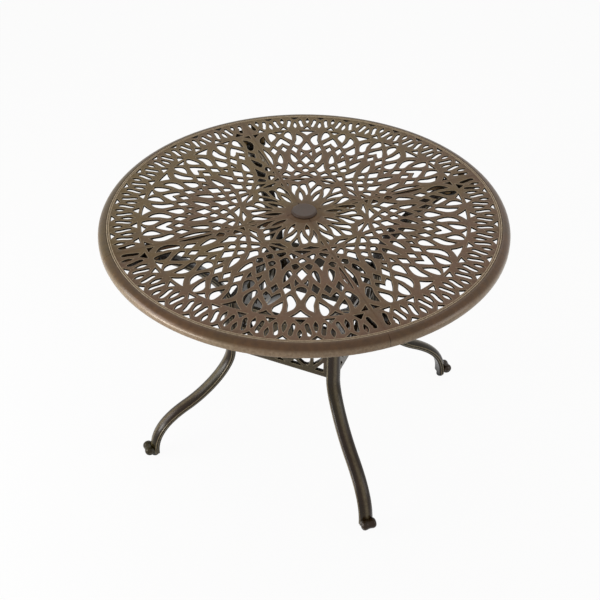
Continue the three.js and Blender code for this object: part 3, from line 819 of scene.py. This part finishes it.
# The legs. Each is one S-shaped casting with a smooth crowned outer face, and a fine groove between
# two beads along both sides. It ends in a scroll that curls outwards over the glide, and at
# the top in a plate that is screwed up under two quarters.
leg_angles = [(index + 0.5) * quarter for index in range(4)]
leg_curve = [  # handles of four curves in a row, which share their ends: radius and height in mm
    (452, 713), (350, 701), (220, 572), (220, 506), (220, 448), (220, 391), (220, 333), (220, 281),
    (290, 203), (360, 165), (430, 127), (466, 79.7), (466, 13),
]
waist_radius = leg_curve[3][0] * mm
foot_radius, foot_bottom = leg_curve[-1][0] * mm, leg_curve[-1][1] * mm
leg_steps = [26, 6, 22, 24]
leg_half_section = [  # across, out, and how pale as wear and painted highlight (over 0) or dark as painted shade (under 0)
    (0, 11, 0.5), (2.5, 10.8, 0.4), (5, 10.4, 0.15), (7.5, 9.8, -0.1), (10, 8.9, -0.3), (12.5, 7.6, -0.4),
    (14.8, 6, -0.5), (16.6, 4.1, -0.5), (17.6, 2.8, 0), (18.7, 2.2, 0.9), (19, 0.6, 0.9),
    (18.2, -0.7, -0.7), (17.4, -1.9, -1), (18, -3, -0.8), (18.9, -3.9, 0.8), (18.9, -5.2, 0.6),
    (18.2, -7.6, -0.6), (16.8, -10.4, -0.7), (14.6, -11, -0.8), (7, -11, -0.8),
]
scroll_place = (482 * mm, 28 * mm)
scroll_half_profile = [  # radius, distance from the scroll's middle
    (13.4, 0), (13.6, 3.5), (14.3, 7), (14.9, 10.5), (14.6, 13.6), (13.7, 16.2), (12.2, 18.3), (10.2, 19.6),
    (8.6, 19.4), (7.4, 18.7), (6.2, 19.6), (4.4, 20.7), (2.2, 21), (0, 21),
]
footplate_low, footplate_high = 392 * mm, 490 * mm
footplate_half = 37 * mm
joint_gap = 0.3 * mm  # between parts that are screwed together
footplate_top = flange_bottom - joint_gap
footplate_thick = 8 * mm
footplate_corner = 12 * mm
footplate_edge = 1.6 * mm
footplate_lap = 1 * mm  # how far the shank stays below the plate's upper face


# draws a section, of [across, out], along the carrier's own line of edges
sweep_path, nodes, given = geometry_tree("sweep_path", [
    ("Path", "Geometry"), ("Section", "Object"), ("Material", "Material")])
line = nodes.add("GeometryNodeMeshToCurve", links={"Mesh": given["Path"]})
close_sweep(nodes, line.outputs[0], given)


def bezier_point(handles, t):
    a, b, c, d = (Vector(handle) * mm for handle in handles)
    return a * (1 - t) ** 3 + b * 3 * t * (1 - t) ** 2 + c * 3 * t * t * (1 - t) + d * t ** 3


def leg_mesh():
    line = []
    for number, steps in enumerate(leg_steps):
        handles = leg_curve[3 * number:3 * number + 4]
        line += [bezier_point(handles, step / steps) for step in range(steps)]
    line.append(Vector((foot_radius, foot_bottom)))
    path = new_mesh("leg_path", [(p.x, 0, p.y) for p in line], [(i, i + 1) for i in range(len(line) - 1)])
    half = [Vector(point[:2]) * mm for point in leg_half_section]
    section = half + [Vector((-point.x, point.y)) for point in reversed(half[1:])]
    marks = [point[2] for point in leg_half_section]
    marks += marks[:0:-1]
    shank = tree_result(sweep_path, {"Section": loops_mesh([section])}, path)
    for vertex in shank.vertices:
        vertex.co.z = max(foot_bottom, min(footplate_top - footplate_lap, vertex.co.z))
    shape = bmesh.new()
    add_mesh(shape, marked(shank, marks))
    half = [(radius * mm, side * mm) for radius, side in scroll_half_profile]
    profile = [(radius, -side) for radius, side in reversed(half[1:])] + half
    lie_down = Matrix.Translation((scroll_place[0], 0, scroll_place[1])) @ Matrix.Rotation(quarter, 4, "X")
    add_mesh(shape, turned_mesh(profile, steps=36), lie_down)
    near, far = footplate_low + footplate_corner, footplate_high - footplate_corner
    side = footplate_half - footplate_corner
    outline = []
    for centre, start in ((near, -side), 180), ((far, -side), 270), ((far, side), 0), ((near, side), 90):
        outline += [Vector(p) for p in arc_points(centre, (footplate_corner,) * 2, start, start + 90, 6)]
    plate = bmesh.new()
    # the plate is drawn upside down, so that its rounded edge is the lower one
    pierced_plate(plate, outline, [], footplate_thick - footplate_top, -footplate_top, footplate_edge,
                  footplate_edge, draft=0, round_outside=True)
    bmesh.ops.transform(plate, matrix=Matrix.Rotation(math.pi, 4, "X"), verts=plate.verts)
    bmesh.ops.recalc_face_normals(plate, faces=plate.faces)
    shape.from_mesh(into_mesh("footplate", plate))
    return into_mesh("leg", shape)


# painted shade: the legs and panels get a much darker copy of the top's bronze paint
leg_paint_shaded = cast_paint("bronze_leg", srgb(43, 32, 13), srgb(48, 41, 16), srgb(45, 29, 13),
                       srgb(150, 137, 108), roughness=0.28, coat=0.22)
four_castings("leg_casting", leg_mesh(), leg_angles[0], leg_paint_shaded, "cast_base", "leg")

# The waist panels. Flat openwork castings that stand between the straight middles of two legs
# and brace them, with a rail at the bottom and the top, an end bar at each leg and curved straps.
panel_low, panel_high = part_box("waist_panel_1")
panel_middle = 154.1 * mm
panel_half_thick = 6 * mm
panel_half_width = 141.1 * mm
panel_bar = 12 * mm
panel_rail = 14 * mm
panel_edge = 1.8 * mm
panel_mitre = 0.4  # how much wider the panel gets with each step outwards
panel_shade_share = 0.4  # its openings get less painted shade than those of the top
lug_seat = waist_radius + leg_half_section[-1][1] * mm - joint_gap
lug_length = 19 * mm
lug_radius = 8 * mm
lug_edge = 1.4 * mm
lug_aside = 9.2 * mm
lug_inset = 17 * mm
lug_heights = [panel_low.z + lug_inset, panel_high.z - lug_inset]
panel_half_shares = [
    [[0.075, 0, 1], [0.01, 0.1, 1]],
    [[0.8, 0, 1], [0.5, 0.2], [0.2, 0, 1]],
    [[0.9, 0, 1], [0.99, 0.2, 1]],
]
panel_side_shares = [
    [[0.02, 0.22, 1], [0.02, 0.5, 1], [0.13, 0.33, 1]],
    [[0.09, 0.52], [0.09, 0.62], [0.2, 0.67], [0.46, 0.65], [0.585, 0.52, 1], [0.46, 0.42], [0.2, 0.41]],
    [[0.22, 0.12, 1], [0.32, 0.3], [0.62, 0.31, 1], [0.44, 0.24]],
    [[0.02, 0.78, 1], [0.02, 0.97, 1], [0.25, 0.97, 1]],
    [[0.13, 0.75, 1], [0.32, 0.92], [0.5, 0.92], [0.42, 0.76]],
    [[0.54, 0.75, 1], [0.62, 0.94], [0.9, 0.94, 1], [0.78, 0.8]],
    [[0.7, 0.4, 1], [0.68, 0.52], [0.57, 0.66, 1], [0.8, 0.72], [0.92, 0.55, 1]],
    [[0.97, 0.25, 1], [0.72, 0.3, 1], [0.97, 0.46, 1]],
    [[0.98, 0.63, 1], [0.87, 0.76, 1], [0.98, 0.91, 1]],
]


def panel_mesh():
    """One panel across +X, drawn flat and stood up."""
    open_half = panel_half_width - panel_bar
    open_low = panel_low.z + panel_rail
    open_height = panel_high.z - panel_low.z - 2 * panel_rail
    holes = []
    for shares in all_openings(panel_half_shares, panel_side_shares):
        places = [Vector((point[1] * open_half, open_low + point[0] * open_height)) for point in shares]
        holes.append(curved_outline(shares, places))
    sides = [(-1, panel_low.z), (1, panel_low.z), (1, panel_high.z), (-1, panel_high.z)]
    outline = [Vector((side * panel_half_width, height)) for side, height in sides]
    shape = bmesh.new()
    pierced_plate(shape, outline, holes, panel_half_thick, -panel_half_thick, panel_edge, panel_edge,
                  draft=0, round_outside=True)
    deep = shape.verts.layers.float["deep"]
    for vertex in shape.verts:
        # the openings' painted shade is weaker on the panels
        vertex[deep] *= panel_shade_share
        # the ends are mitred, so that two panels meet behind the leg
        reach = panel_half_width + panel_mitre * vertex.co.z
        vertex.co.x = max(-reach, min(reach, vertex.co.x * reach / panel_half_width))
    stand = Matrix(((0, 0, 1, panel_middle), (1, 0, 0, 0), (0, 1, 0, 0), (0, 0, 0, 1)))
    bmesh.ops.transform(shape, matrix=stand, verts=shape.verts)
    bmesh.ops.recalc_face_normals(shape, faces=shape.faces)
    lug = [(0, -lug_length), (lug_radius - lug_edge, -lug_length), (lug_radius, lug_edge - lug_length),
           (lug_radius, 0), (0, 0)]
    for side in (-1, 1):
        turn = Matrix.Rotation(side * quarter / 2, 4, "Z")
        for height in lug_heights:
            place = Matrix.Translation((lug_seat, -side * lug_aside, height))
            add_mesh(shape, turned_mesh(lug, steps=20), turn @ place @ Matrix.Rotation(quarter, 4, "Y"))
    return into_mesh("panel", shape)


# the panels wear the legs' darker copy of the bronze, painted shade
four_castings("panel_casting", panel_mesh(), 0, leg_paint_shaded, "cast_base", "waist_panel")

# The fasteners. Zinc-plated pan-head screws hold the legs' plates and the panels' lugs, and hex
# bolts with nuts draw the seam flanges together.

# puts the instance object on each of the carrier's points, turned to the point's aim
on_points, nodes, given = geometry_tree("on_points", [
    ("Points", "Geometry"), ("Instance", "Object"), ("Material", "Material")])
piece = nodes.add("GeometryNodeObjectInfo", links={"Object": given["Instance"]})
aim = nodes.add("GeometryNodeInputNamedAttribute", data_type="FLOAT_VECTOR", values={"Name": "aim"})
turn = nodes.add("FunctionNodeAlignRotationToVector", axis="Z", links={"Vector": aim.outputs["Attribute"]})
copies = nodes.add("GeometryNodeInstanceOnPoints", links={
    "Points": given["Points"], "Instance": piece.outputs["Geometry"], "Rotation": turn.outputs[0]})
close_tree(nodes, copies.outputs[0], given["Material"])


def put_on_points(piece_mesh, places, aims, material):
    """One mesh of many copies of a piece, each at its place with its +Z along its aim."""
    points = new_mesh("places", places)
    attribute = points.attributes.new("aim", "FLOAT_VECTOR", "POINT")
    attribute.data.foreach_set("vector", [value for aim in aims for value in aim])
    return tree_result(on_points, {"Instance": piece_mesh, "Material": material}, points)


def pan_screw(head, head_height, shank, length):
    """A pan-head screw that points up, with a round driver recess and a thread drawn as rings."""
    recess, recess_floor, recess_rim = 1.3 * mm, 1.6 * mm, 2.2 * mm
    edge, neck, pitch, thread, tip = 1.5 * mm, 0.5 * mm, 1.2 * mm, 0.35 * mm, 1 * mm
    dome = [(0, recess - head_height), (recess_floor, recess - head_height), (recess_rim, -head_height)]
    dome += arc_points((head - edge, edge - head_height), (edge, edge), -90, 0, 4)
    dome += [(head, 0), (shank, 0)]
    height = neck
    while height < length - pitch:
        dome += [(shank, height), (shank - thread, height + pitch / 2)]
        height += pitch
    dome += [(shank, length - pitch), (shank - tip, length), (0, length)]
    return turned_mesh(dome, steps=20)


def hexagon(radius, low, high, edge):
    profile = [(0, low), (radius - edge, low), (radius, low + edge), (radius, high), (0, high)]
    return turned_mesh(profile, steps=6)


def round_the_legs(places):
    """The same [out, aside, height] places at each of the four legs."""
    return [Matrix.Rotation(angle, 4, "Z") @ Vector(place) for angle in leg_angles for place in places]


def fasteners(name, solid, letters, piece_mesh, places, aims):
    """Finishes all copies of one screw or bolt, in place of its solids."""
    replaced = [f"{solid}_{number}{letter}" for number in range(1, 5) for letter in letters]
    finished(name, put_on_points(piece_mesh, places, aims, zinc), zinc, "fasteners", replaced)


zinc_paint = Paint("zinc_plate")
spangle = zinc_paint.noise(scale=300, detail=4)
zinc = zinc_paint.done({"Metallic": 1}, {
    "Base Color": zinc_paint.ramp(spangle, (0.3, srgb(150, 148, 138)), (0.7, srgb(196, 196, 190))),
    "Roughness": zinc_paint.mapped(spangle, 0.3, 0.7, 0.28, 0.45)})
screw_seat = footplate_top - footplate_thick - joint_gap
places = round_the_legs([(radius, aside, screw_seat) for radius in leg_screw_radii
                         for aside in (-leg_screw_aside, leg_screw_aside)])
leg_screw = pan_screw(head=6 * mm, head_height=4 * mm, shank=3 * mm, length=15 * mm)
fasteners("leg_screws", "leg_screw", "abcd", leg_screw, places, [(0, 0, 1)] * len(places))

screw_seat = lug_seat - lug_length - joint_gap
places = round_the_legs([(screw_seat, aside, height) for height in lug_heights
                         for aside in (-lug_aside, lug_aside)])
aims = round_the_legs([(1, 0, 0)] * 4)
panel_screw = pan_screw(head=5 * mm, head_height=3.5 * mm, shank=3 * mm, length=28 * mm)
fasteners("panel_screws", "panel_screw", "abcd", panel_screw, places, aims)

bolt_radii = [120 * mm, 300 * mm]
bolt_height = flange_bottom + 4.6 * mm
bolt_reach = flange_width + joint_gap
bolt_shank = 2.5 * mm
bolt_length = 13.6 * mm
bolt_tip = 0.5 * mm
hex_radius = 4 * mm
head_thick = 3 * mm
nut_low, nut_high = 10.7 * mm, 13.2 * mm
places, aims = [], []
for index, angle in enumerate(leg_angles):
    side = -1 if index % 2 == 0 else 1
    turn = Matrix.Rotation(angle, 4, "Z")
    for radius in bolt_radii:
        places.append(turn @ Vector((radius, side * bolt_reach, bolt_height)))
        aims.append(turn @ Vector((0, -side, 0)))
shank = turned_mesh([(0, 0), (bolt_shank, 0), (bolt_shank, nut_high), (bolt_shank - bolt_tip, bolt_length),
                     (0, bolt_length)], 16)
seam_bolt = bmesh.new()
head = hexagon(hex_radius, -head_thick, 0, edge=0.5 * mm)
nut = hexagon(hex_radius, nut_low, nut_high, edge=0.01 * mm)
for piece in (head, shank, nut):
    add_mesh(seam_bolt, piece)
fasteners("seam_bolts", "seam_bolt", "ab", into_mesh("seam_bolt", seam_bolt), places, aims)

# The glides and the plug. Black polyethylene glides are pressed into the feet. A brown moulded
# plug with a low dished cap closes the umbrella hole and lifts out by hand.


def moulded_plastic(name, colour, pale, roughness):
    plastic = Paint(name)
    cloud = plastic.noise(scale=40, detail=4)
    return plastic.done({"Specular IOR Level": 0.3}, {
        "Base Color": plastic.ramp(cloud, (0.35, colour), (0.7, pale)),
        "Roughness": plastic.mapped(cloud, 0.3, 0.7, roughness - 0.05, roughness + 0.08),
        "Normal": plastic.bump(plastic.noise(scale=1400, detail=1), strength=0.15, distance=0.3 * mm)})


black_plastic = moulded_plastic("black_polyethylene", srgb(14, 14, 15), srgb(26, 26, 27), roughness=0.5)
glide_profile = [(radius * mm, height * mm) for radius, height in (
    (0, 0), (9, 0), (10.3, 0.6), (11, 2), (11, 11.4), (10.4, 12.4), (9.6, 12.7), (5, 12.7), (5, 29.5),
    (4.2, 30.7), (0, 30.7))]
glides = put_on_points(turned_mesh(glide_profile, steps=32), round_the_legs([(foot_radius, 0, 0)]),
                       [(0, 0, 1)] * 4, black_plastic)
finished("foot_glides", glides, black_plastic, "glides", [f"glide_{number}" for number in range(1, 5)])

plug_low, plug_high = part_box("umbrella_plug")
cap_radius = plug_high.x
seat_height = plug_high.z - 6 * mm
skirt_inner, skirt_outer = 21.4 * mm, 24.3 * mm
skirt_edge = 0.6 * mm
cap_rim = 1.2 * mm
cap_shoulder = (4.2 * mm, 3.6 * mm)
plug_profile = [(0, seat_height), (skirt_inner, seat_height), (skirt_inner, plug_low.z + skirt_edge),
                (skirt_inner + skirt_edge, plug_low.z), (skirt_outer - 0.5 * mm, plug_low.z),
                (skirt_outer, plug_low.z + 1 * mm), (skirt_outer, seat_height),
                (cap_radius - cap_rim / 2, seat_height)]
plug_profile += arc_points((cap_radius - cap_rim, seat_height + 1.6 * mm), (cap_rim, cap_rim), -40, 40, 4)
plug_profile += arc_points((cap_radius - 5.5 * mm, seat_height + 2.2 * mm), cap_shoulder, 20, 90, 7)
plug_profile += [(cap_radius - 8 * mm, plug_high.z - 0.1 * mm), (20 * mm, plug_high.z - 0.4 * mm),
                 (10 * mm, plug_high.z - 0.6 * mm), (0, plug_high.z - 0.7 * mm)]
plug_plastic = moulded_plastic("brown_plug", srgb(72, 55, 43), srgb(84, 66, 54), roughness=0.38)
finished("plug_cap", turned_mesh(plug_profile, steps=64), plug_plastic, "plug", ["umbrella_plug"],
         body="umbrella_plug")
